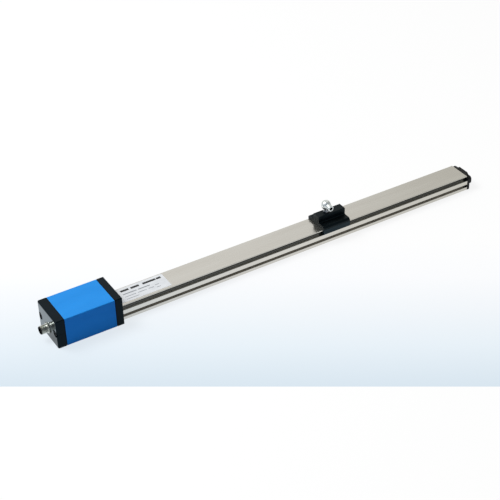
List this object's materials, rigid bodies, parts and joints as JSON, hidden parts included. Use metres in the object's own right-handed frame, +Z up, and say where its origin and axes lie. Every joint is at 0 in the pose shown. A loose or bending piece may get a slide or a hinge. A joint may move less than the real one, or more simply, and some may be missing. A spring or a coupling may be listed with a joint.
{
  "type": "linear displacement sensor",
  "caption": "Magnetostrictive linear position sensor: electronics housing on a slotted aluminium rail with a sliding magnet carriage and a swivelling rod end.",
  "frame": {"origin": "in the base plane, half way along the whole length, on the middle line", "axes": "+X along the rail from the cable connector to the far end cap, +Z up from the base, +Y to the side away from the threaded shank of the rod end"},
  "size_m": [0.6934, 0.0564, 0.0559],
  "materials": {
    "blue_anodised": "blue anodised, fine satin",
    "black_coated": "black coated, glossy",
    "black_rubber": "matt",
    "dark_screw": "blackened steel",
    "clear_anodised": "clear anodised with a slight champagne tint",
    "black_moulded": "moulded, satin",
    "white_plate": "smooth white film",
    "stainless": "drawn",
    "silicone": "soft translucent silicone",
    "waveguide_alloy": "bright wire",
    "copper": "enamelled copper",
    "frame_plastic": "moulded, natural",
    "magnet": "ferrite",
    "board_green": "solder mask",
    "can_metal": "bare can",
    "component_black": "moulded",
    "header_plastic": "moulded",
    "plated": "nickel plated",
    "insulator": "moulded",
    "gold_pin": "gold plated",
    "black_anodised": "black anodised",
    "shoe_plastic": "sliding plastic, dark grey",
    "ball_steel": "polished, plated",
    "liner_plastic": "sliding plastic",
    "socket_chrome": "polished, plated"
  },
  "bodies": {
    "base": {"housing_body": "blue_anodised", "front_cap": "black_coated", "rear_cap": "black_coated", "front_gasket": "black_rubber", "rear_gasket": "black_rubber", "front_cap_screws": "dark_screw", "rear_cap_screws": "dark_screw", "rail_extrusion": "clear_anodised", "rail_screws": "dark_screw", "end_gasket": "black_rubber", "rail_end_cap": "black_moulded", "end_cap_screws": "dark_screw", "rating_plate": "white_plate", "sensing_tube": "stainless", "waveguide_spacers": "silicone", "waveguide_damper": "silicone", "waveguide": "waveguide_alloy", "return_wire": "copper", "tube_seal": "black_rubber", "pickup_frame": "frame_plastic", "pickup_coil": "copper", "bias_magnet": "magnet", "pickup_screws": "dark_screw", "main_board": "board_green", "capacitors": "can_metal", "inductor": "component_black", "processor": "component_black", "board_header": "header_plastic", "connector_shell": "plated", "connector_insert": "insulator", "connector_pins": "gold_pin", "connector_seal": "black_rubber", "connector_nut": "plated"},
    "slider": {"carriage_body": "black_anodised", "guide_shoe_back": "shoe_plastic", "guide_shoe_front": "shoe_plastic", "guide_pins": "stainless", "carriage_magnets": "magnet", "stud_nut": "ball_steel"},
    "swivel": {"ball_stud": "ball_steel"},
    "socket": {"rod_end": "socket_chrome", "socket_liner": "liner_plastic"}
  },
  "joints": [
    {"name": "slider_travel", "type": "slide", "parent": "base", "child": "slider", "axis": [1, 0, 0], "range_m": [-0.32, 0.2115]},
    {"name": "stud_swivel", "type": "hinge", "parent": "slider", "child": "swivel", "pos_m": [0.09845, 0, 0.0496], "axis": [0, 0, 1], "continuous": true},
    {"name": "rod_end_tilt", "type": "hinge", "parent": "swivel", "child": "socket", "pos_m": [0.09845, 0, 0.0496], "axis": [1, 0, 0], "range_deg": [-18, 18]}
  ]
}
